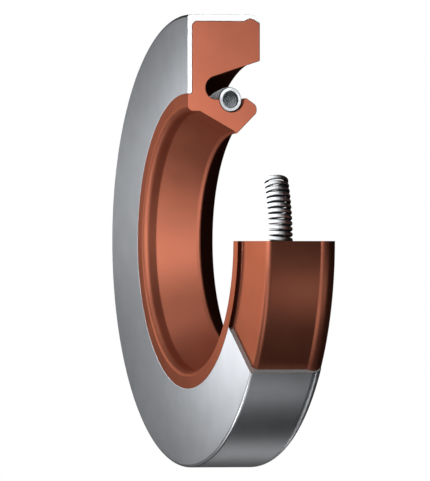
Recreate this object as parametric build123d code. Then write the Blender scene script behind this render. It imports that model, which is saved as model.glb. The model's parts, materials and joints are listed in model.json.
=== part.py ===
from build123d import *
import os
from math import cos, pi, radians, sin, tan

# Radial lip seal for a rotating shaft, cut open to show its section.
# A pressed steel case holds a rubber sealing element, moulded onto it in one piece, and a
# garter spring in a groove of the rubber pulls the lip onto the shaft.
# Z is the seal's axis, with the air side up. A place in the section is a radius from the axis
# and a depth below the air-side face. The origin is on the axis, halfway along the lip's land.
# Lengths are millimetres and angles are degrees.

# What the seal fits
housing_bore = 72.0
press_allowance = 0.15  # the case is this much wider than its bore
shaft_diameter = 35.0
lip_interference = 0.7  # the free lip is this much narrower than its shaft
seal_width = 12.3

# How far each piece runs round the axis from the cut face
case_sweep = 234.7
rubber_sweep = 270.0
spring_sweep = 295.8

# Pressed steel case
flange_thickness = 0.8
wall_thickness = 1.0
outer_bend = 0.45
inner_bend = 0.87
thinned_wall = 0.62  # the wall behind the crimp
thinning_start = 2.54  # these three are measured from the rear edge
thinning_end = 2.05
crimp_bend_start = 1.16
crimp_round = 2.0  # the rear edge is rolled in by this bend
crimp_angle = 67.7
crimp_straight = 0.05  # straight part left at the rolled edge
rear_edge_thickness = 0.15

# Rubber sealing element, air side
heel_clearance = 3.17  # between shaft and heel
bead_height = 2.82  # from the heel out to the flange's edge
bead_round = 1.0
heel_depth = 2.12
heel_round = 0.5

# Rubber sealing element, lip
lip_depth = 8.3  # to the middle of the land
lip_land = 0.25
lip_bevel_width = 0.37
lip_bevel_height = 0.4
oil_side_angle = 44.5
tail_length = 3.33
tail_end_height = 1.17
tail_round = 1.0

# Garter spring
spring_height = 5.45  # from the lip out to the middle of the coil
spring_offset = 0.78  # from the lip towards the air side
coil_diameter = 4.0
wire_diameter = 0.7
turn_gap = 0.16
last_turn = 0.5  # part of a turn after the last whole one, so the free end of the wire lies inside
bends_per_turn = 8  # straight stretches of wire in one turn

# Spring groove
seat_clearance = 0.05
seat_wrap = 15.0  # how far the tail closes over the coil's middle
seat_outer_round = 0.35
seat_inner_round = 0.15
groove_end_depth = 3.1
groove_end_round = 1.82
groove_end_flat = 0.05
groove_slope = 17.6
groove_mouth_round = 0.2

case_radius = (housing_bore + press_allowance) / 2
lip_radius = (shaft_diameter - lip_interference) / 2
heel_radius = shaft_diameter / 2 + heel_clearance
flange_bore_radius = heel_radius + bead_height
ring_radius = lip_radius + spring_height
ring_depth = lip_depth - spring_offset
coil_radius = coil_diameter / 2
seat_radius = coil_radius + seat_clearance


def section(corners):
    """Face in the XZ plane from (radius, depth, round) corners, in order along the outline."""
    points = [(radius, lip_depth - depth) for radius, depth, _ in corners]
    rounds = [corner_round for _, _, corner_round in corners]
    return make_face(FilletPolyline(*points, radius=rounds, close=True))


def swept_round(face, sweep):
    return revolve(Plane.XZ * face, Axis.Z, sweep)


def crimp_corners():
    """Corner of the rolled-in rear edge and the end of its outside."""
    reach = crimp_round * tan(radians(crimp_angle) / 2) + crimp_straight
    corner = (case_radius, seal_width - reach * cos(radians(crimp_angle)), crimp_round)
    tip = (case_radius - reach * sin(radians(crimp_angle)), seal_width, 0)
    return [corner, tip]


def bonded_corners():
    """Inside of the case from the rear edge to the flange's bore, which the rubber fills."""
    edge_radius = crimp_corners()[1][0] - rear_edge_thickness
    thinned_radius = case_radius - thinned_wall
    wall_radius = case_radius - wall_thickness
    return [
        (edge_radius, seal_width, 0),
        (thinned_radius, seal_width - crimp_bend_start, 0),
        (thinned_radius, seal_width - thinning_end, 0),
        (wall_radius, seal_width - thinning_start, 0),
        (wall_radius, flange_thickness, inner_bend),
        (flange_bore_radius, flange_thickness, 0),
    ]


def case():
    air_side = [
        (flange_bore_radius, 0, 0),
        (case_radius, 0, outer_bend),
    ]
    return swept_round(section(air_side + crimp_corners() + bonded_corners()), case_sweep)


def sealing_element():
    heel = [
        (flange_bore_radius, 0, 0),
        (heel_radius, 0, bead_round),
        (heel_radius, heel_depth, heel_round),
    ]
    land_start = lip_depth - lip_land / 2
    land_end = lip_depth + lip_land / 2
    lip = [
        (lip_radius + lip_bevel_height, land_start - lip_bevel_width, 0),
        (lip_radius, land_start, 0),
        (lip_radius, land_end, 0),
    ]
    tail_depth = land_end + tail_length
    tail_low = lip_radius + tail_length * tan(radians(oil_side_angle))
    tail_high = tail_low + tail_end_height
    hump_radius = ring_radius + seat_radius * sin(radians(seat_wrap))
    hump_depth = ring_depth + seat_radius * cos(radians(seat_wrap))
    tail_slope = (hump_radius - tail_high) / (tail_depth - hump_depth)
    inside_seat = coil_radius / 4
    tail = [
        (tail_low, tail_depth, tail_round),
        (tail_high, tail_depth, tail_round),
        (hump_radius + inside_seat * tail_slope, hump_depth - inside_seat, 0),
        (ring_radius, ring_depth, 0),
    ]
    end_slant = tan(radians(45 - groove_slope / 2))
    groove_top = ring_radius + groove_end_round * (1 + end_slant) + groove_end_flat
    mouth_radius = groove_top + (seal_width - groove_end_depth) * tan(radians(groove_slope))
    groove = [
        (ring_radius, groove_end_depth, groove_end_round),
        (groove_top, groove_end_depth, groove_end_round),
        (mouth_radius, seal_width, groove_mouth_round),
    ]
    outline = section(heel + lip + tail + groove + bonded_corners())
    seat = Pos(ring_radius, lip_depth - ring_depth) * Circle(seat_radius)
    outline = outline - seat
    outer_edge = Vector(hump_radius, lip_depth - hump_depth)
    inner_edge = Vector(ring_radius, lip_depth - ring_depth + seat_radius)
    for edge, edge_round in ((outer_edge, seat_outer_round), (inner_edge, seat_inner_round)):
        outline = fillet(outline.vertices().sort_by_distance(edge)[0], edge_round)
    return swept_round(outline, rubber_sweep)


def garter_spring():
    """Close coil bent round the axis, of wire with four flat sides and a bend at each frame."""
    pitch = wire_diameter + turn_gap
    end_angle = (wire_diameter / 2) / ring_radius
    span = radians(spring_sweep) - end_angle
    turns = round(span * ring_radius / pitch - last_turn) + last_turn
    bends = round(turns * bends_per_turn)
    half_wire = wire_diameter / 2
    centre = Vector(0, 0, lip_depth - ring_depth)
    frames = []
    for bend in range(bends + 1):
        around_axis = end_angle + span * bend / bends
        around_coil = 2 * pi * bend / bends_per_turn
        outward = Vector(cos(around_axis), sin(around_axis), 0)
        forward = Vector(-sin(around_axis), cos(around_axis), 0)
        across = outward * cos(around_coil) + Vector(0, 0, 1) * sin(around_coil)
        wire_centre = centre + outward * ring_radius + across * (coil_radius - half_wire)
        sides = (across, forward, -across, -forward)
        frames.append([wire_centre + side * half_wire for side in sides])
    faces = [Face(Wire.make_polygon(frames[0])), Face(Wire.make_polygon(frames[-1]))]
    for near, far in zip(frames, frames[1:]):
        for side in range(len(near)):
            for corners in (
                (near[side], near[side - 1], far[side]),
                (near[side - 1], far[side - 1], far[side]),
            ):
                faces.append(Face(Wire.make_polygon(corners)))
    return Solid(Shell(faces))


os.makedirs("parts", exist_ok=True)
for name, build in (
    ("case", case),
    ("sealing_element", sealing_element),
    ("garter_spring", garter_spring),
):
    piece = build()
    piece.label = name
    export_step(piece, f"parts/{name}.step")
    print(name, "volume", round(piece.volume, 1), "mm3")
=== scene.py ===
# %% [markdown]
# A rotary shaft seal, cut open
#
# A shaft seal keeps oil in where a turning shaft leaves a housing. This one is cut open in steps,
# so that all three of its pieces show: a pressed steel case, a moulded rubber element with the
# sealing lip, and a garter spring that hugs the lip.
#
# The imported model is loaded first. It is the frame that everything else is built around: nothing
# below moves it, and each piece made here takes the place of one of its nodes.

import json
from math import atan2, ceil, cos, pi, radians, sin, sqrt, tan

import bmesh
import bpy
from mathutils import Matrix, Vector


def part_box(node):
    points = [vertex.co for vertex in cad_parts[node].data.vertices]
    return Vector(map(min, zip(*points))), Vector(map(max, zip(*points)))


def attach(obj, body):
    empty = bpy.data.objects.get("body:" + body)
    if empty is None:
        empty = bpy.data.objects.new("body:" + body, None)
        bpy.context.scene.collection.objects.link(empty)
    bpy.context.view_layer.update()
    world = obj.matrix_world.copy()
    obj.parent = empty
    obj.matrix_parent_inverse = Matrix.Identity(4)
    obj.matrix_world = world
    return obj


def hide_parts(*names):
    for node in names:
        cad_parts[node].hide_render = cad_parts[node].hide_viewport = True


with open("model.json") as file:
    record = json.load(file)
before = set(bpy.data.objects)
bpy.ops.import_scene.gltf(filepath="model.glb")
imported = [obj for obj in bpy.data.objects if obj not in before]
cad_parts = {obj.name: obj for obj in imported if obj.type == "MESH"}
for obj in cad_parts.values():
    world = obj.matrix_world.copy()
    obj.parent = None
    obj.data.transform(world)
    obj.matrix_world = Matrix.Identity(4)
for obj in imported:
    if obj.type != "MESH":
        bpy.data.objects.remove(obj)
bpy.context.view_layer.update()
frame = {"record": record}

# %% [markdown]
# Sizes
#
# A seal is round, so one section tells its whole shape. Each place in the section is a radius
# from the axis and a height along it. The main sizes are read off the frame, so that a change to
# the model carries over. The finer ones, which no box can tell, repeat the model's own values.

# %% Main sizes from the frame, in metres
MM = 0.001
case_low, case_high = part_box("case")
spring_low, spring_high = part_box("garter_spring")
lip_mount = next(m for m in frame["record"]["mounts"] if m["name"] == "lip_bore")

case_radius = case_high.x
air_face = case_high.z
rear_face = case_low.z
lip_radius = lip_mount["dims"]["r_mm"] * MM
coil_radius = (spring_high.z - spring_low.z) / 2
coil_height = (spring_high.z + spring_low.z) / 2
ring_radius = spring_high.x - coil_radius
print("case radius", round(case_radius / MM, 2), "and lip radius", round(lip_radius / MM, 2), "mm")
print("ring radius", round(ring_radius / MM, 2), "and coil radius", round(coil_radius / MM, 2), "mm")

# %% How far each piece runs round the axis, and the spring's wire
case_sweep = radians(234.7)
rubber_sweep = radians(270.0)
spring_sweep = radians(295.8)
wire_diameter = 0.7 * MM
turn_gap = 0.16 * MM
last_turn = 0.5
print("the case covers", round(case_sweep / (2 * pi), 3), "of a full turn")

# %% [markdown]
# Drawing a section
#
# A pressed or moulded section has hardly a sharp corner, and the rounds are what catches the
# light. A section is written as its corners, each with the size of its round, and these helpers
# turn them into points. A straight side also gets a point close to each of its ends: the shading
# of a smooth mesh is blended between its points, and these two keep the flat sides flat.

# %% Rounded sections
ARC_STEP = radians(9)
SHARP_ANGLE = radians(14)
SIDE_MARGIN = 0.03 * MM
LONG_SIDE = 6 * SIDE_MARGIN


def arc_points(centre, start, end, long_way=False):
    """Points of an arc round the centre, by the short way unless told otherwise."""
    first, last = start - centre, end - centre
    turn = first.angle_signed(last)
    if long_way:
        turn -= 2 * pi * (1 if turn > 0 else -1)
    steps = max(1, ceil(abs(turn) / ARC_STEP))
    start_angle = atan2(first.y, first.x)
    angles = [start_angle - turn * step / steps for step in range(steps + 1)]
    return [centre + Vector((cos(angle), sin(angle))) * first.length for angle in angles]


def corner_points(before, corner, after, size):
    """The corner itself, or the points of the round that takes its place."""
    if size == 0:
        return [corner]
    back = (before - corner).normalized()
    onward = (after - corner).normalized()
    half = back.angle(onward) / 2
    middle = corner + (back + onward).normalized() * size / sin(half)
    return arc_points(middle, corner + back * size / tan(half), corner + onward * size / tan(half))


def outline_run(corners):
    """Points along an open run of (radius, height, round) corners; its two ends stay sharp."""
    places = [Vector((radius, height)) for radius, height, _ in corners]
    points = [places[0]]
    for before, corner, after, (_, _, size) in zip(places, places[1:], places[2:], corners[1:]):
        points += corner_points(before, corner, after, size)
    return points + [places[-1]]


def with_margins(points):
    """The closed outline with a point close to each round end of its long straight sides."""
    kept = []
    count = len(points)
    for at, here in enumerate(points):
        before, there, after = points[at - 1], points[(at + 1) % count], points[(at + 2) % count]
        kept.append(here)
        side = there - here
        margin = side.normalized() * SIDE_MARGIN
        if side.length > LONG_SIDE and side.angle(here - before) < SHARP_ANGLE:
            kept.append(here + margin)
        if side.length > LONG_SIDE and side.angle(after - there) < SHARP_ANGLE:
            kept.append(there - margin)
    return kept


square_corner = corner_points(Vector((1, 0)), Vector((0, 0)), Vector((0, 1)), 0.2)
print("the round of a square corner takes", len(square_corner), "points")

# %% [markdown]
# The case's section
#
# The case is deep drawn from sheet steel. Its flange closes the air side, its wall is the press
# seat, and its rear edge is coined thinner and rolled in, to lead into the housing. The inner
# outline is shared: the rubber is moulded onto it and follows each bend.

# %% Case sizes and outline
flange_thickness = 0.8 * MM
flange_bore = 23.49 * MM
flange_edge_round = 0.12 * MM
flange_foot_round = 0.3 * MM
wall_thickness = 1.0 * MM
outer_bend = 0.45 * MM
inner_bend = 0.87 * MM
thinned_wall = 0.62 * MM
thinning_start = 2.54 * MM
thinning_end = 2.05 * MM
crimp_bend_start = 1.16 * MM
thinning_round = 0.35 * MM
thinned_round = 1.1 * MM
crimp_round = 2.0 * MM
crimp_angle = radians(67.7)
crimp_straight = 0.05 * MM
rear_edge_thickness = 0.15 * MM

crimp_reach = crimp_round * tan(crimp_angle / 2) + crimp_straight
rear_tip = case_radius - crimp_reach * sin(crimp_angle)

bonded_side = [
    (rear_tip - rear_edge_thickness, rear_face, 0),
    (case_radius - thinned_wall, rear_face + crimp_bend_start, thinned_round),
    (case_radius - thinned_wall, rear_face + thinning_end, thinned_round),
    (case_radius - wall_thickness, rear_face + thinning_start, thinning_round),
    (case_radius - wall_thickness, air_face - flange_thickness, inner_bend),
    (flange_bore, air_face - flange_thickness, flange_foot_round),
]
open_side = [
    (flange_bore, air_face, flange_edge_round),
    (case_radius, air_face, outer_bend),
    (case_radius, rear_face + crimp_reach * cos(crimp_angle), crimp_round),
    (rear_tip, rear_face, 0),
]
case_outline = outline_run(bonded_side + open_side)
print("the case's section has", len(case_outline), "points")

# %% [markdown]
# The rubber element's section
#
# One moulding does several jobs: a bead closes the flange's edge, a heel and a cone clear the
# shaft, the blunt lip runs on it, and behind the lip a half round seat holds the spring. The seat
# meets the tail and the groove's floor in small rounds. Such a round touches a straight side and
# the seat's own arc, so its middle lies where both distances fit.

# %% Rubber sizes
heel_radius = 20.67 * MM
heel_depth = 2.12 * MM
bead_round = 1.0 * MM
heel_round = 0.5 * MM
lip_land = 0.25 * MM
lip_bevel_width = 0.37 * MM
lip_bevel_height = 0.4 * MM
lip_bevel_round = 0.5 * MM
oil_side_angle = radians(44.5)
tail_length = 3.33 * MM
tail_end_height = 1.17 * MM
tail_round = 1.0 * MM
seat_clearance = 0.05 * MM
seat_wrap = radians(15)
seat_outer_round = 0.35 * MM
seat_inner_round = 0.15 * MM
groove_end_depth = 3.1 * MM
groove_end_round = 1.82 * MM
groove_end_flat = 0.05 * MM
groove_slope = radians(17.6)
groove_mouth_round = 0.2 * MM

heel_height = air_face - heel_depth
seat_radius = coil_radius + seat_clearance
groove_end = air_face - groove_end_depth
tail_end = -lip_land / 2 - tail_length
tail_low = lip_radius + tail_length * tan(oil_side_angle)
tail_corner = Vector((tail_low + tail_end_height, tail_end))
groove_top = ring_radius + groove_end_round * (1 + tan(pi / 4 - groove_slope / 2)) + groove_end_flat
groove_mouth = groove_top + (groove_end - rear_face) * tan(groove_slope)
seat_centre = Vector((ring_radius, coil_height))
print("the seat's radius is", round(seat_radius / MM, 2), "mm")

# %% Rubber outline


def seat_edge(corner, onward, size):
    """Arc that rounds the corner between the seat and the straight side leaving it onward."""
    inward = Vector((-abs(onward.y), onward.x if onward.y > 0 else -onward.x))
    start = corner + inward * size - seat_centre
    reach = start.dot(onward)
    travel = sqrt(reach**2 - start.length_squared + (seat_radius + size) ** 2) - reach
    middle = seat_centre + start + onward * travel
    on_seat = seat_centre.lerp(middle, seat_radius / (seat_radius + size))
    return arc_points(middle, corner + onward * travel, on_seat)


hump = seat_centre + Vector((sin(seat_wrap), -cos(seat_wrap))) * seat_radius
outer_edge = seat_edge(hump, (tail_corner - hump).normalized(), seat_outer_round)
inner_corner = seat_centre + Vector((0, seat_radius))
inner_edge = seat_edge(inner_corner, Vector((0, 1)), seat_inner_round)[::-1]
seat_floor = arc_points(seat_centre, outer_edge[-1], inner_edge[0])

air_side_and_lip = outline_run(
    [
        (flange_bore, air_face, 0),
        (heel_radius, air_face, bead_round),
        (heel_radius, heel_height, heel_round),
        (lip_radius + lip_bevel_height, lip_land / 2 + lip_bevel_width, lip_bevel_round),
        (lip_radius, lip_land / 2, 0),
        (lip_radius, -lip_land / 2, 0),
        (tail_low, tail_end, tail_round),
        (*tail_corner, tail_round),
        (*outer_edge[0], 0),
    ]
)
groove_and_back = outline_run(
    [
        (*inner_edge[-1], 0),
        (ring_radius, groove_end, groove_end_round),
        (groove_top, groove_end, groove_end_round),
        (groove_mouth, rear_face, groove_mouth_round),
    ]
    + bonded_side
    + [(flange_bore, air_face, 0)]
)
rubber_outline = air_side_and_lip + outer_edge[1:] + seat_floor[1:] + inner_edge[1:]
rubber_outline += groove_and_back[1:-1]
rubber_outline.reverse()
print("the rubber's section has", len(rubber_outline), "points")

# %% [markdown]
# Turning a section into a ring
#
# A lathe would spin the section round the axis. Geometry Nodes can do the same: the section is
# pushed along a straight line first, which closes both ends with flat caps, and each point is then
# moved to its angle. Bending a straight bar this way keeps the two cut faces exactly radial, which
# a sweep along a bent path would not.

# %% Node helpers


def step(tree, kind, inputs=None, output=0, **settings):
    """Adds a node and returns one of its outputs; an input is a linked socket or a plain value."""
    node = tree.nodes.new(kind)
    for setting, value in settings.items():
        setattr(node, setting, value)
    for socket, value in (inputs or {}).items():
        if isinstance(value, bpy.types.NodeSocket):
            tree.links.new(value, node.inputs[socket])
        else:
            node.inputs[socket].default_value = value
    return node.outputs[output]


def calc(tree, operation, first, second=0.0):
    """The result of one sum on two numbers or sockets."""
    return step(tree, "ShaderNodeMath", {0: first, 1: second}, operation=operation)


def vector(tree, x=0.0, y=0.0, z=0.0):
    """A vector of three sockets or plain values."""
    return step(tree, "ShaderNodeCombineXYZ", {"X": x, "Y": y, "Z": z})


def parts_of(tree, place):
    """The X, Y and Z sockets of a vector."""
    return [step(tree, "ShaderNodeSeparateXYZ", {"Vector": place}, axis) for axis in range(3)]


# %% Start and end of a modifier tree


def new_tree(name, inputs):
    """A modifier tree with the named inputs, and the sockets that bring them in."""
    tree = bpy.data.node_groups.new(name, "GeometryNodeTree")
    tree.interface.new_socket("Geometry", in_out="INPUT", socket_type="NodeSocketGeometry")
    tree.interface.new_socket("Geometry", in_out="OUTPUT", socket_type="NodeSocketGeometry")
    for label, kind in inputs.items():
        tree.interface.new_socket(label, in_out="INPUT", socket_type="NodeSocket" + kind)
    return tree, tree.nodes.new("NodeGroupInput").outputs


def end_tree(tree, shape, given, cut):
    """Keeps true edges sharp, gives both materials and closes the tree."""
    shape = step(tree, "GeometryNodeSetShadeSmooth", {"Geometry": shape, "Shade Smooth": True})
    smooth = calc(tree, "LESS_THAN", step(tree, "GeometryNodeInputMeshEdgeAngle"), SHARP_ANGLE)
    shape = step(
        tree, "GeometryNodeSetShadeSmooth", {"Geometry": shape, "Shade Smooth": smooth}, domain="EDGE"
    )
    shape = step(tree, "GeometryNodeRealizeInstances", {"Geometry": shape})
    for label, chosen in (("Finish", True), ("Cut finish", cut)):
        painted = {"Geometry": shape, "Selection": chosen, "Material": given[label]}
        shape = step(tree, "GeometryNodeSetMaterial", painted)
    tree.links.new(shape, tree.nodes.new("NodeGroupOutput").inputs["Geometry"])


def captured(tree, shape, name, value):
    """Stores a true or false value on each face, and returns the shape and the stored value."""
    node = tree.nodes.new("GeometryNodeCaptureAttribute")
    node.domain = "FACE"
    node.capture_items.new("BOOLEAN", name)
    tree.links.new(shape, node.inputs["Geometry"])
    tree.links.new(value, node.inputs[name])
    return node.outputs["Geometry"], node.outputs[name]


# %% The ring tree


def ring_tree():
    """Pushes the section along a straight bar, then bends the bar round the axis."""
    inputs = {"Sweep": "Float", "Steps": "Int", "Finish": "Material", "Cut finish": "Material"}
    tree, given = new_tree("turned ring", inputs)
    section = step(tree, "GeometryNodeMeshToCurve", {"Mesh": given["Geometry"]})
    line = step(tree, "GeometryNodeCurvePrimitiveLine", {"End": (0, 0, 1)})
    count = calc(tree, "ADD", given["Steps"], 1)
    line = step(tree, "GeometryNodeResampleCurve", {"Curve": line, "Count": count})
    bar_inputs = {"Curve": line, "Profile Curve": section, "Fill Caps": True}
    bar = step(tree, "GeometryNodeCurveToMesh", bar_inputs)
    facing = parts_of(tree, step(tree, "GeometryNodeInputNormal"))[2]
    is_cut = calc(tree, "GREATER_THAN", calc(tree, "ABSOLUTE", facing), 0.5)
    bar, is_cut = captured(tree, bar, "Cut", is_cut)
    radius, height, along = parts_of(tree, step(tree, "GeometryNodeInputPosition"))
    angle = calc(tree, "MULTIPLY", along, given["Sweep"])
    across = calc(tree, "MULTIPLY", radius, calc(tree, "COSINE", angle))
    round_it = calc(tree, "MULTIPLY", radius, calc(tree, "SINE", angle))
    place = vector(tree, across, round_it, height)
    ring = step(tree, "GeometryNodeSetPosition", {"Geometry": bar, "Position": place})
    end_tree(tree, ring, given, is_cut)
    return tree


turned_ring = ring_tree()
print("the ring tree has", len(turned_ring.nodes), "nodes")

# %% [markdown]
# The garter spring's tree
#
# A garter spring is a close coil whose ends are joined to a ring. Its wire follows a helix wound
# on a ring, and both turnings come from one number, how far along the wire a point is. The
# helix is a curve, and sweeping a small circle along it gives the round wire.

# %% The coil tree


def coil_tree():
    """Moves the points of a line onto a helix wound on a ring, and sweeps the wire along it."""
    inputs = {
        "Ring radius": "Float",
        "Winding radius": "Float",
        "Height": "Float",
        "Start": "Float",
        "Sweep": "Float",
        "Turns": "Float",
        "Steps per turn": "Int",
        "Wire radius": "Float",
        "Wire sides": "Int",
        "Finish": "Material",
        "Cut finish": "Material",
    }
    tree, given = new_tree("garter coil", inputs)
    line = step(tree, "GeometryNodeCurvePrimitiveLine", {"End": (0, 0, 1)})
    count = calc(tree, "MULTIPLY", given["Turns"], given["Steps per turn"])
    count = calc(tree, "ADD", count, 1)
    line = step(tree, "GeometryNodeResampleCurve", {"Curve": line, "Count": count})
    along = step(tree, "GeometryNodeSplineParameter")
    turned = calc(tree, "MULTIPLY", calc(tree, "MULTIPLY", along, given["Turns"]), 2 * pi)
    swept = calc(tree, "MULTIPLY", along, given["Sweep"])
    angle = calc(tree, "ADD", given["Start"], swept)
    outward = calc(tree, "MULTIPLY", given["Winding radius"], calc(tree, "COSINE", turned))
    radius = calc(tree, "ADD", given["Ring radius"], outward)
    upward = calc(tree, "MULTIPLY", given["Winding radius"], calc(tree, "SINE", turned))
    across = calc(tree, "MULTIPLY", radius, calc(tree, "COSINE", angle))
    round_it = calc(tree, "MULTIPLY", radius, calc(tree, "SINE", angle))
    place = vector(tree, across, round_it, calc(tree, "ADD", given["Height"], upward))
    helix = step(tree, "GeometryNodeSetPosition", {"Geometry": line, "Position": place})
    circle = {"Resolution": given["Wire sides"], "Radius": given["Wire radius"]}
    circle = step(tree, "GeometryNodeCurvePrimitiveCircle", circle)
    wire = {"Curve": helix, "Profile Curve": circle, "Fill Caps": True}
    wire = step(tree, "GeometryNodeCurveToMesh", wire)
    end_tree(tree, wire, given, False)
    return tree


garter_coil = coil_tree()
print("the coil tree has", len(garter_coil.nodes), "nodes")

# %% [markdown]
# Keeping the result
#
# A tree is run once, and its result is kept as a plain mesh. An input of the modifier is set by
# its identifier, before the first evaluation. The signed volume tells at once whether the faces
# point outwards: it would be below zero if they pointed in.

# %% Run a tree and keep its mesh


def finished(name, start_mesh, tree, values):
    """An object with the plain mesh that the tree makes of the start mesh."""
    piece = bpy.data.objects.new(name, start_mesh)
    bpy.context.scene.collection.objects.link(piece)
    modifier = piece.modifiers.new(tree.name, "NODES")
    modifier.node_group = tree
    sockets = [item for item in tree.interface.items_tree if item.in_out == "INPUT"]
    for socket in sockets:
        if socket.name in values:
            modifier[socket.identifier] = values[socket.name]
    depsgraph = bpy.context.evaluated_depsgraph_get()
    mesh = bpy.data.meshes.new_from_object(piece.evaluated_get(depsgraph), depsgraph=depsgraph)
    piece.modifiers.clear()
    piece.data = mesh
    mesh.name = name
    measured = bmesh.new()
    measured.from_mesh(mesh)
    volume = measured.calc_volume(signed=True) / MM**3
    print(name, len(measured.calc_loop_triangles()), "triangles,", round(volume, 1), "cubic mm")
    measured.free()
    return piece


def outline_mesh(name, points):
    """The closed outline as a mesh of edges: radius along X and height along Y."""
    mesh = bpy.data.meshes.new(name)
    places = [(point.x, point.y, 0) for point in with_margins(points)]
    edges = [(at, (at + 1) % len(places)) for at in range(len(places))]
    mesh.from_pydata(places, edges, [])
    return mesh


# %% [markdown]
# The rim of a cut
#
# A fine dark line of painted shade runs round each cut, between the pieces. The
# flat end of a ring is one large face, so a narrow rim is split off inside its outline. Each point
# of the outline is then marked with a 1, and the finish turns darker towards it with painted shade.

# %% Split the rim off each cut face


def rimmed(piece, width):
    """Splits a rim off the piece's cut faces, and marks its outer side for the finish."""
    mesh = bmesh.new()
    mesh.from_mesh(piece.data)
    mark = mesh.verts.layers.float.new("Rim")
    cuts = [face for face in mesh.faces if len(face.verts) > 4]
    bmesh.ops.inset_region(mesh, faces=cuts, thickness=width, use_even_offset=True)
    inside = {vertex for face in cuts for vertex in face.verts}
    for vertex in mesh.verts:
        vertex[mark] = float(vertex not in inside)
    mesh.to_mesh(piece.data)
    mesh.free()
    print(piece.name, "has", len(cuts), "cut faces")


# %% [markdown]
# Finishes
#
# Everything on this part was turned, pressed or moulded round one axis, so a pattern that runs
# round the axis looks right on each of its faces. The helpers give a material its place on the
# piece, either plain or as radius and height, and spread a noise over it.

# %% Material helpers
NOISE_LOW = 0.3
NOISE_HIGH = 0.7


def new_material(name, plain):
    """A material with its plain values set on the shader's own sockets."""
    material = bpy.data.materials.new(name)
    material.use_nodes = True
    shader = material.node_tree.nodes["Principled BSDF"]
    for label, value in plain.items():
        shader.inputs[label].default_value = value
    return material, material.node_tree, shader


def object_place(tree):
    """The place of a point on the piece itself, which turns and moves with it."""
    return step(tree, "ShaderNodeTexCoord", output="Object")


def distance_of(tree, x, y):
    """How far a place given by two numbers lies from their common zero."""
    return step(tree, "ShaderNodeVectorMath", {0: vector(tree, x, y)}, "Value", operation="LENGTH")


def round_place(tree, drift):
    """Radius and height, with a little of X so that a line round the axis isn't endless."""
    x, y, z = parts_of(tree, object_place(tree))
    return vector(tree, distance_of(tree, x, y), z, calc(tree, "MULTIPLY", x, drift))


def noise(tree, place, size, detail=2.0):
    """A noise from 0 to 1 whose spots are about the given size."""
    inputs = {"Vector": place, "Scale": 1 / size, "Detail": detail}
    return step(tree, "ShaderNodeTexNoise", inputs, "Fac")


def spread(tree, factor, low, high):
    """The noise's usual range, which is narrow, spread over low to high."""
    inputs = {"Value": factor, "From Min": NOISE_LOW, "From Max": NOISE_HIGH}
    inputs.update({"To Min": low, "To Max": high})
    return step(tree, "ShaderNodeMapRange", inputs)


def tinted(tree, factor, first, second):
    """A colour between the two, by the factor; the first may be another node's colour."""
    node = tree.nodes.new("ShaderNodeMix")
    node.data_type = "RGBA"
    colours = [socket for socket in node.inputs if socket.type == "RGBA"]
    tree.links.new(factor, node.inputs[0])
    if isinstance(first, bpy.types.NodeSocket):
        tree.links.new(first, colours[0])
    else:
        colours[0].default_value = (*first, 1)
    colours[1].default_value = (*second, 1)
    return next(socket for socket in node.outputs if socket.type == "RGBA")


def bump(tree, height, depth):
    """A normal whose bumps are the given depth in metres."""
    return step(tree, "ShaderNodeBump", {"Height": height, "Distance": depth})


# %% [markdown]
# Pressed steel is satin: the sheet's grain and the press tool leave fine lines that run round the
# part, and the reflections are drawn out across them. The shader's anisotropy does that once it
# is told which way the lines run. The die irons the wall smoother than the flange.

# %% Pressed steel
STEEL_DARK = (0.585, 0.605, 0.635)
STEEL_LIGHT = (0.63, 0.65, 0.685)
FLANGE_ROUGHNESS = 0.42
WALL_ROUGHNESS = 0.32
LINE_ROUGHNESS = 0.03
PRESS_LINE_WIDTH = 0.12 * MM
PRESS_LINE_DEPTH = 0.002 * MM
PRESS_LINE_DRIFT = 0.04
STEEL_CLOUD = 4 * MM


def pressed_steel():
    """Satin sheet with fine lines round the axis, smoother on the wall than on the flange."""
    plain = {"Metallic": 1.0, "Anisotropic": 0.3}
    material, tree, shader = new_material("satin pressed steel", plain)
    place = round_place(tree, PRESS_LINE_DRIFT)
    lines = noise(tree, place, PRESS_LINE_WIDTH, 3)
    clouds = noise(tree, object_place(tree), STEEL_CLOUD, 2)
    colour = tinted(tree, spread(tree, clouds, 0, 1), STEEL_DARK, STEEL_LIGHT)
    ironed = {"Value": parts_of(tree, place)[0], "From Min": case_radius - outer_bend}
    ironed.update({"From Max": case_radius, "To Min": FLANGE_ROUGHNESS, "To Max": WALL_ROUGHNESS})
    ironed = step(tree, "ShaderNodeMapRange", ironed)
    rough = calc(tree, "ADD", ironed, spread(tree, lines, -LINE_ROUGHNESS, LINE_ROUGHNESS))
    x, y, _ = parts_of(tree, object_place(tree))
    round_axis = vector(tree, calc(tree, "MULTIPLY", y, -1), x)
    tree.links.new(colour, shader.inputs["Base Color"])
    tree.links.new(rough, shader.inputs["Roughness"])
    tree.links.new(bump(tree, lines, PRESS_LINE_DEPTH), shader.inputs["Normal"])
    tree.links.new(round_axis, shader.inputs["Tangent"])
    return material


# %% [markdown]
# A cut was ground after sawing. The sheet's section is then a bright face with fine scratches, and
# a dark line of painted shade runs round it. The rim that was split off carries that line: its
# attribute is read by the finish, so the line needs no picture and no extra mesh.

# %% Ground steel section
GROUND_DARK = (0.25, 0.27, 0.275)
GROUND_LIGHT = (0.3, 0.32, 0.325)
GROUND_ROUGHNESS = (0.3, 0.36)
SCRATCH_WIDTH = 0.05 * MM
# Painted shade for the dark line round the steel's cut.
STEEL_EDGE_SHADE = (0.012, 0.013, 0.014)
FULL_EDGE_SHADE = 0.7


def rim_of(tree):
    """How dark the painted shade line is: full on the outline and for a third of the rim's width."""
    rim = step(tree, "ShaderNodeAttribute", output="Fac", attribute_name="Rim")
    return step(tree, "ShaderNodeMapRange", {"Value": rim, "From Max": FULL_EDGE_SHADE})


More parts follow.
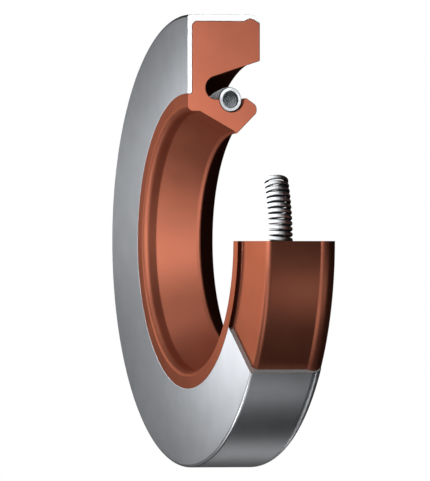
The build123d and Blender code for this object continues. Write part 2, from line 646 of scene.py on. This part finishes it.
def cut_steel():
    """Section of the sheet, ground bright, with a painted shade line round its outline."""
    material, tree, shader = new_material("ground steel section", {"Metallic": 0.5})
    scratches = noise(tree, round_place(tree, 1), SCRATCH_WIDTH, 2)
    colour = tinted(tree, scratches, GROUND_DARK, GROUND_LIGHT)
    # The dark line round the cut is painted shade.
    colour = tinted(tree, rim_of(tree), colour, STEEL_EDGE_SHADE)
    tree.links.new(colour, shader.inputs["Base Color"])
    tree.links.new(spread(tree, scratches, *GROUND_ROUGHNESS), shader.inputs["Roughness"])
    return material


# %% [markdown]
# The rubber is a brick red compound with a moulded satin skin. Its colour drifts a little, its
# gloss more so, and a very fine grain breaks up the highlights. A share of metal in the shader
# tints the gloss with the rubber's own colour. Where the steel was cut back, the low wall that the
# flange's edge was bonded to is darkened with painted shade, and so are the lip's and tail's rear faces.

# %% Rubber
RUBBER_GLOSS = {"Specular IOR Level": 0.2, "Specular Tint": (1, 0.45, 0.3, 1)}
RUBBER_CLOUD = 5 * MM
RUBBER_GRAIN = 0.12 * MM


def rubber(name, plain, colours, rough, depth):
    """A rubber whose colour and gloss drift between two values, with a grain of the given depth."""
    material, tree, shader = new_material(name, RUBBER_GLOSS | plain)
    clouds = noise(tree, object_place(tree), RUBBER_CLOUD, 3)
    grain = noise(tree, object_place(tree), RUBBER_GRAIN, 2)
    colour = tinted(tree, spread(tree, clouds, 0, 1), *colours)
    tree.links.new(spread(tree, clouds, *rough), shader.inputs["Roughness"])
    tree.links.new(bump(tree, grain, depth), shader.inputs["Normal"])
    return material, tree, shader, colour


# %% Painted shade on the low wall and on the rear faces of the lip
# Painted shade for the low wall under the flange's edge.
LOW_WALL_SHADE = (0.04, 0.012, 0.008)
LOW_WALL_SHADE_REACH = 0.1 * MM
LOW_WALL_SHADE_FADE = 0.02 * MM
UNSHADED_TOP = 0.08 * MM
# Painted shade for the rear faces of the lip and the tail.
OIL_SIDE_SHADE = (0.1, 0.03, 0.018)


def shaded_low_wall(tree, radius, height):
    """1 on the low wall at the flange's edge, from just under its top down to its foot: painted shade."""
    wall = {"Value": radius, "From Min": flange_bore - LOW_WALL_SHADE_REACH}
    wall["From Max"] = flange_bore - LOW_WALL_SHADE_FADE
    wall = step(tree, "ShaderNodeMapRange", wall)
    outer_end = flange_bore + LOW_WALL_SHADE_REACH
    wall = calc(tree, "MULTIPLY", wall, calc(tree, "LESS_THAN", radius, outer_end))
    depth = calc(tree, "SUBTRACT", air_face, height)
    wall = calc(tree, "MULTIPLY", wall, calc(tree, "GREATER_THAN", depth, UNSHADED_TOP))
    return calc(tree, "MULTIPLY", wall, calc(tree, "LESS_THAN", depth, flange_thickness))


def oil_side_shade(tree, radius, height):
    """1 on the lip's and the tail's rear faces, where shade is painted, and 0 outside the spring's ring."""
    below = {"Value": height, "From Min": 0, "From Max": -lip_land / 2}
    below = step(tree, "ShaderNodeMapRange", below)
    inner = {"Value": radius, "From Min": ring_radius, "From Max": tail_low + tail_end_height}
    return calc(tree, "MULTIPLY", below, step(tree, "ShaderNodeMapRange", inner))


# %% Moulded rubber
SKIN_DARK = (0.3, 0.097, 0.058)
SKIN_LIGHT = (0.34, 0.11, 0.066)
SKIN_ROUGHNESS = (0.48, 0.52)
SKIN_GRAIN_DEPTH = 0.002 * MM


def moulded_rubber():
    """The satin skin that the mould leaves, with painted shade on the low wall and the rear faces."""
    colours = SKIN_DARK, SKIN_LIGHT
    made = rubber("moulded rubber", {"Metallic": 0.85}, colours, SKIN_ROUGHNESS, SKIN_GRAIN_DEPTH)
    material, tree, shader, colour = made
    radius, height, _ = parts_of(tree, round_place(tree, 0))
    # Painted shade on the low wall under the flange's edge.
    colour = tinted(tree, shaded_low_wall(tree, radius, height), colour, LOW_WALL_SHADE)
    # Painted shade on the rear faces of the lip and the tail.
    colour = tinted(tree, oil_side_shade(tree, radius, height), colour, OIL_SIDE_SHADE)
    tree.links.new(colour, shader.inputs["Base Color"])
    return material


# %% Cut rubber
SECTION_DARK = (0.84, 0.25, 0.148)
SECTION_LIGHT = (0.92, 0.274, 0.162)
SECTION_ROUGHNESS = (0.5, 0.6)
SECTION_GRAIN_DEPTH = 0.004 * MM
# Painted shade for the dark line round the rubber's cut.
RUBBER_EDGE_SHADE = (0.12, 0.035, 0.02)


def cut_rubber():
    """The duller and lighter section of the rubber, with a painted shade line round it."""
    colours = SECTION_DARK, SECTION_LIGHT
    made = rubber("cut rubber", {}, colours, SECTION_ROUGHNESS, SECTION_GRAIN_DEPTH)
    material, tree, shader, colour = made
    # The dark line round the cut is painted shade.
    colour = tinted(tree, rim_of(tree), colour, RUBBER_EDGE_SHADE)
    tree.links.new(colour, shader.inputs["Base Color"])
    return material


# %% [markdown]
# The spring is bright drawn wire. Painted shade darkens it between its turns and inside the coil, and
# a painted shade line outlines the turn that was cut through. A turn's own middle line is a circle round
# the coil's core, so how far a point lies off that circle tells which side of the wire it is on. The
# way from the cut is measured straight off the cut's plane. That plane passes the ring a second
# time, opposite the cut, so the few turns there look the same as the one that was cut through.
# They lie deep in the groove and show only from below.

# %% Spring wire
WIRE_DARK = (0.8, 0.85, 0.89)
WIRE_LIGHT = (0.87, 0.91, 0.95)
WIRE_ROUGHNESS = (0.5, 0.58)
WIRE_CLOUD = 0.5 * MM
# Painted shade between the turns and inside the coil.
GAP_SHADE = (0.02, 0.024, 0.028)
GAP_SHADE_FADE = 0.3 * MM
GAP_SHADE_FULL = 0.14 * MM
INNER_SHADE_FROM = 12 * MM
# Painted shade on the inner and outer edge of the cut turn.
TURN_EDGE_SHADE_FADE = 0.18 * MM
TURN_EDGE_SHADE_FULL = 0.3 * MM
FIRST_TURN = 1.2 * MM


def off_middle_line(tree):
    """How far outside its turn's middle line a point lies, below 0 on the coil's inner side."""
    x, y, z = parts_of(tree, object_place(tree))
    sideways = calc(tree, "SUBTRACT", distance_of(tree, x, y), ring_radius)
    upward = calc(tree, "SUBTRACT", z, coil_height)
    from_core = distance_of(tree, sideways, upward)
    return calc(tree, "SUBTRACT", from_core, coil_radius - wire_diameter / 2)


def shade_between_turns(tree, off_middle, from_cut):
    """1 where turns face each other and, some way off the cut's plane, inside the coil: painted shade."""
    sides = {"Value": calc(tree, "ABSOLUTE", off_middle), "From Min": GAP_SHADE_FADE, "From Max": GAP_SHADE_FULL}
    sides = step(tree, "ShaderNodeMapRange", sides)
    inside = calc(tree, "LESS_THAN", off_middle, 0)
    inside = calc(tree, "MULTIPLY", inside, calc(tree, "GREATER_THAN", from_cut, INNER_SHADE_FROM))
    turn_shade = calc(tree, "MAXIMUM", sides, inside)
    return calc(tree, "MULTIPLY", turn_shade, calc(tree, "GREATER_THAN", from_cut, FIRST_TURN))


def shade_round_cut_turn(tree, off_middle, from_cut):
    """1 on the inner and outer edge of each turn that lies in the cut's plane: a painted shade line."""
    cut_turn_shade = {"Value": calc(tree, "ABSOLUTE", off_middle), "From Min": TURN_EDGE_SHADE_FADE, "From Max": TURN_EDGE_SHADE_FULL}
    cut_turn_shade = step(tree, "ShaderNodeMapRange", cut_turn_shade)
    return calc(tree, "MULTIPLY", cut_turn_shade, calc(tree, "LESS_THAN", from_cut, FIRST_TURN))


def spring_wire():
    """Drawn spring steel, bright outside, with painted shade between its turns and inside the coil."""
    material, tree, shader = new_material("bright spring wire", {"Specular IOR Level": 0.25})
    clouds = noise(tree, object_place(tree), WIRE_CLOUD, 2)
    colour = tinted(tree, clouds, WIRE_DARK, WIRE_LIGHT)
    off_middle = off_middle_line(tree)
    from_cut = calc(tree, "ABSOLUTE", parts_of(tree, object_place(tree))[1])
    turn_shade = shade_between_turns(tree, off_middle, from_cut)
    dark = calc(tree, "MAXIMUM", turn_shade, shade_round_cut_turn(tree, off_middle, from_cut))
    # The dark colour mixed in here is painted shade.
    tree.links.new(tinted(tree, dark, colour, GAP_SHADE), shader.inputs["Base Color"])
    tree.links.new(spread(tree, clouds, *WIRE_ROUGHNESS), shader.inputs["Roughness"])
    return material


# %% [markdown]
# The three pieces
#
# Each piece is made from its section or its wire, takes the place of its node, and rides on the
# part's only body.

# %% Make the pieces
ANGLE_STEP = radians(1.5)
STEEL_RIM = 0.07 * MM
RUBBER_RIM = 0.12 * MM
STEPS_PER_TURN = 24
WIRE_SIDES = 12


def dressed(piece, node):
    """The piece stands for the node, whose own mesh is hidden, and rides on the part's body."""
    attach(piece, "root")
    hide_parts(node)


def make_case():
    """The steel ring, cut back the furthest."""
    values = {"Sweep": case_sweep, "Steps": round(case_sweep / ANGLE_STEP)}
    values.update({"Finish": pressed_steel(), "Cut finish": cut_steel()})
    section = outline_mesh("case section", case_outline)
    case = finished("pressed_case", section, turned_ring, values)
    rimmed(case, STEEL_RIM)
    dressed(case, "case")


def make_rubber():
    """The rubber ring, which fills the case and carries the lip."""
    values = {"Sweep": rubber_sweep, "Steps": round(rubber_sweep / ANGLE_STEP)}
    values.update({"Finish": moulded_rubber(), "Cut finish": cut_rubber()})
    section = outline_mesh("rubber section", rubber_outline)
    element = finished("moulded_element", section, turned_ring, values)
    rimmed(element, RUBBER_RIM)
    dressed(element, "sealing_element")


def make_spring():
    """The coil, whose first turn starts half a wire from the cut and whose last ends inside."""
    start = wire_diameter / 2 / ring_radius
    fitting = (spring_sweep - start) * ring_radius / (wire_diameter + turn_gap)
    turns = round(fitting - last_turn) + last_turn
    wire = spring_wire()
    values = {
        "Ring radius": ring_radius,
        "Winding radius": coil_radius - wire_diameter / 2,
        "Height": coil_height,
        "Start": start,
        "Sweep": spring_sweep - start,
        "Turns": turns,
        "Steps per turn": STEPS_PER_TURN,
        "Wire radius": wire_diameter / 2,
        "Wire sides": WIRE_SIDES,
        "Finish": wire,
        "Cut finish": wire,
    }
    spring = finished("garter_coil", bpy.data.meshes.new("coil start"), garter_coil, values)
    dressed(spring, "garter_spring")
    print("the spring has", turns, "turns")


make_case()
make_rubber()
make_spring()

# %% [markdown]
# Camera
#
# The picture is a technical view with no visible perspective, so a very long lens is used from far
# away. The seal lies flat, and the camera is rolled: up in the picture is +X, where the section
# is cut, and the air side looks to the left.

# %% Camera
PICTURE_HEIGHT = 76.66 * MM
SENSOR = 36.0
LENS = 1400.0
FARTHEST_SEEN = 10.0
AXIS_TILT = 0.34
AIM_ABOVE_AXIS = 0.08 * MM
AIM_BEHIND_FACE = 4.69 * MM
to_camera = Vector((0, -sqrt(1 - AXIS_TILT**2), AXIS_TILT))
picture_up = Vector((1, 0, 0))
aim = Vector((AIM_ABOVE_AXIS, 0, air_face - AIM_BEHIND_FACE))

camera_data = bpy.data.cameras.new("camera")
camera_data.lens = LENS
camera_data.sensor_width = SENSOR
camera_data.clip_end = FARTHEST_SEEN
camera = bpy.data.objects.new("camera", camera_data)
bpy.context.scene.collection.objects.link(camera)
turned = Matrix((picture_up.cross(to_camera), picture_up, to_camera)).transposed()
distance = PICTURE_HEIGHT / SENSOR * LENS
camera.matrix_world = Matrix.Translation(aim + to_camera * distance) @ turned.to_4x4()
bpy.context.scene.camera = camera
print("the camera stands", round(distance, 2), "m away")

# %% [markdown]
# Floor and light
#
# The seal lies on a white floor that fills the picture. The floor glows by itself and takes no
# part in lighting the seal, so that the undersides stay as dark as they are against white.

# %% Floor
FLOOR_WIDTH = 4.0
FLOOR_GAP = 0.05 * MM


def make_floor():
    """A glowing plane just under the seal, seen by the camera alone."""
    level = rear_face - FLOOR_GAP
    bpy.ops.mesh.primitive_plane_add(size=FLOOR_WIDTH, location=(0, 0, level))
    print("the floor lies at", round(level / MM, 2), "mm")
    floor = bpy.context.object
    floor.name = "floor"
    white = bpy.data.materials.new("white floor")
    white.use_nodes = True
    tree = white.node_tree
    tree.nodes.clear()
    glow = step(tree, "ShaderNodeEmission", {"Color": (1, 1, 1, 1), "Strength": 1.0})
    tree.links.new(glow, tree.nodes.new("ShaderNodeOutputMaterial").inputs["Surface"])
    floor.data.materials.append(white)
    floor.visible_diffuse = False
    floor.visible_glossy = False
    floor.visible_shadow = False


make_floor()

# %% [markdown]
# A ring is lit by what it mirrors, so each lamp hangs where one of its faces, seen from the
# camera, mirrors it: far off for a wide plane, close by for a narrow band such as the heel. Light
# linking keeps a lamp to the pieces that it is meant for. The key can then brighten the bore and
# leave the flange its slow fall from light to dark. A lamp is given by its place and its width in
# mm, its power in watts and the pieces that it lights. It faces the origin unless told otherwise.

# %% Light helpers


def group_of(name, *pieces):
    """A collection of pieces that a lamp can be told to light alone."""
    group = bpy.data.collections.new(name)
    for piece in pieces:
        group.objects.link(bpy.data.objects[piece])
    return group


def hung(name, light, place, target, group):
    """Hangs a light at the place in mm, turned to the target, for one group of pieces."""
    holder = bpy.data.objects.new(name, light)
    bpy.context.scene.collection.objects.link(holder)
    holder.location = Vector(place) * MM
    away = (Vector(place) - Vector(target)).normalized()
    holder.rotation_mode = "QUATERNION"
    holder.rotation_quaternion = away.to_track_quat("Z", "Y")
    holder.visible_camera = False
    holder.light_linking.receiver_collection = group


def softbox(name, place, size, power, group, target=(0, 0, 0)):
    """A round soft box of the given width in mm."""
    light = bpy.data.lights.new(name, "AREA")
    light.shape = "DISK"
    light.size = size * MM
    light.energy = power
    hung(name, light, place, target, group)


# %% Lamps for the rings
ring = group_of("ring", "pressed_case", "moulded_element")
steel = group_of("steel", "pressed_case")
rubber_only = group_of("rubber only", "moulded_element")
coil = group_of("coil", "garter_coil")
metal = group_of("metal", "pressed_case", "garter_coil")

softbox("key", (12, -38, 45), 44, 0.028, rubber_only)
softbox("bore light", (-12, 6, 50), 40, 0.01, ring)
softbox("lower key", (-60, -90, 60), 40, 0.026, ring)
softbox("upper light", (90, 0, 50), 40, 0.015, rubber_only)
softbox("flange light", (10, 90, 90), 34, 0.027, ring)
softbox("near side light", (-18, -56, -7), 10, 0.0008, ring)
softbox("hump light", (0, -63, 41), 8, 0.0015, ring)
softbox("heel light", (0, -8, -3), 8, 0.0007, rubber_only, (0, 21, 7))
softbox("lip light", (0, 11, 24), 8, 0.0007, rubber_only, (0, 17, 0))
softbox("lower bead light", (-60, 40, 50), 40, 0.003, rubber_only)
softbox("flange edge light", (-25, 120, 90), 34, 0.0022, steel)
softbox("upper flange light", (6, 107, 39), 30, 0.0007, steel)
softbox("lower flange light", (-26, 75, 39), 24, 0.00015, steel)
softbox("flange cut light", (-12, 0, 30), 16, 0.0018, steel)
softbox("bend light", (-210, 55, 190), 40, 0.2, steel)
softbox("side wall light", (-280, -60, 60), 90, 0.05, steel)
softbox("wall light", (-238, -62, -45), 90, 0.011, steel)
softbox("low wall light", (-189, 146, -74), 90, 0.01, steel)
softbox("rear light", (-220, 60, -190), 60, 0.015, steel)
softbox("upper rear light", (-210, 5, -210), 40, 0.012, steel)
softbox("lower rear light", (-175, 180, -160), 40, 0.012, steel)
print(len(bpy.data.lights), "lamps hang round the rings")

# %% [markdown]
# The spring has one lamp of its own, high above the seal, which leaves the far side of each turn
# dark. A plane cut mirrors one place alone, so two narrow spots stand in the mirror of the first
# cut and light its ground steel and the spring's end. The steel's other cut mirrors the red rubber
# before it. A third spot makes it grey again, from just below the flange's level, so that the
# flange itself stays out of its beam.

# %% Lamp for the spring
softbox("coil light", (0, -15, 118), 60, 0.34, coil)
print("lamps with the spring's:", len(bpy.data.lights))

# %% Spots on the cuts
SPOT_EDGE = 0.1


def spot(name, place, angle, power, group, target):
    """A spot lamp with a hard edge, turned to the target in mm."""
    light = bpy.data.lights.new(name, "SPOT")
    light.spot_size = radians(angle)
    light.spot_blend = SPOT_EDGE
    light.shadow_soft_size = 0
    light.energy = power
    hung(name, light, place, target, group)


spot("section spot", (27, -280, -100), 4.8, 1.1, metal, (27, 0, 2))
spot("second cut spot", (72, -98, 8), 9, 0.4, steel, (-18, -26, 3))
spot("coil spot", (50, -120, 20), 5.2, 0.3, coil, (22.5, 0, 1))
print("with the spots there are", len(bpy.data.lights), "lamps")

# %% World
WORLD_GLOW = 0.01
WORLD_SEEN = 1.0


def make_world():
    """White where the camera sees it, and next to no light from it."""
    world = bpy.data.worlds.new("studio")
    bpy.context.scene.world = world
    world.use_nodes = True
    tree = world.node_tree
    seen = step(tree, "ShaderNodeLightPath", output="Is Camera Ray")
    strength = step(tree, "ShaderNodeMapRange", {"Value": seen, "To Min": WORLD_GLOW, "To Max": WORLD_SEEN})
    background = tree.nodes["Background"]
    background.inputs["Color"].default_value = (1, 1, 1, 1)
    tree.links.new(strength, background.inputs["Strength"])
    print("the world lights the seal with a strength of", WORLD_GLOW)


make_world()
bpy.context.scene.view_settings.view_transform = "Standard"
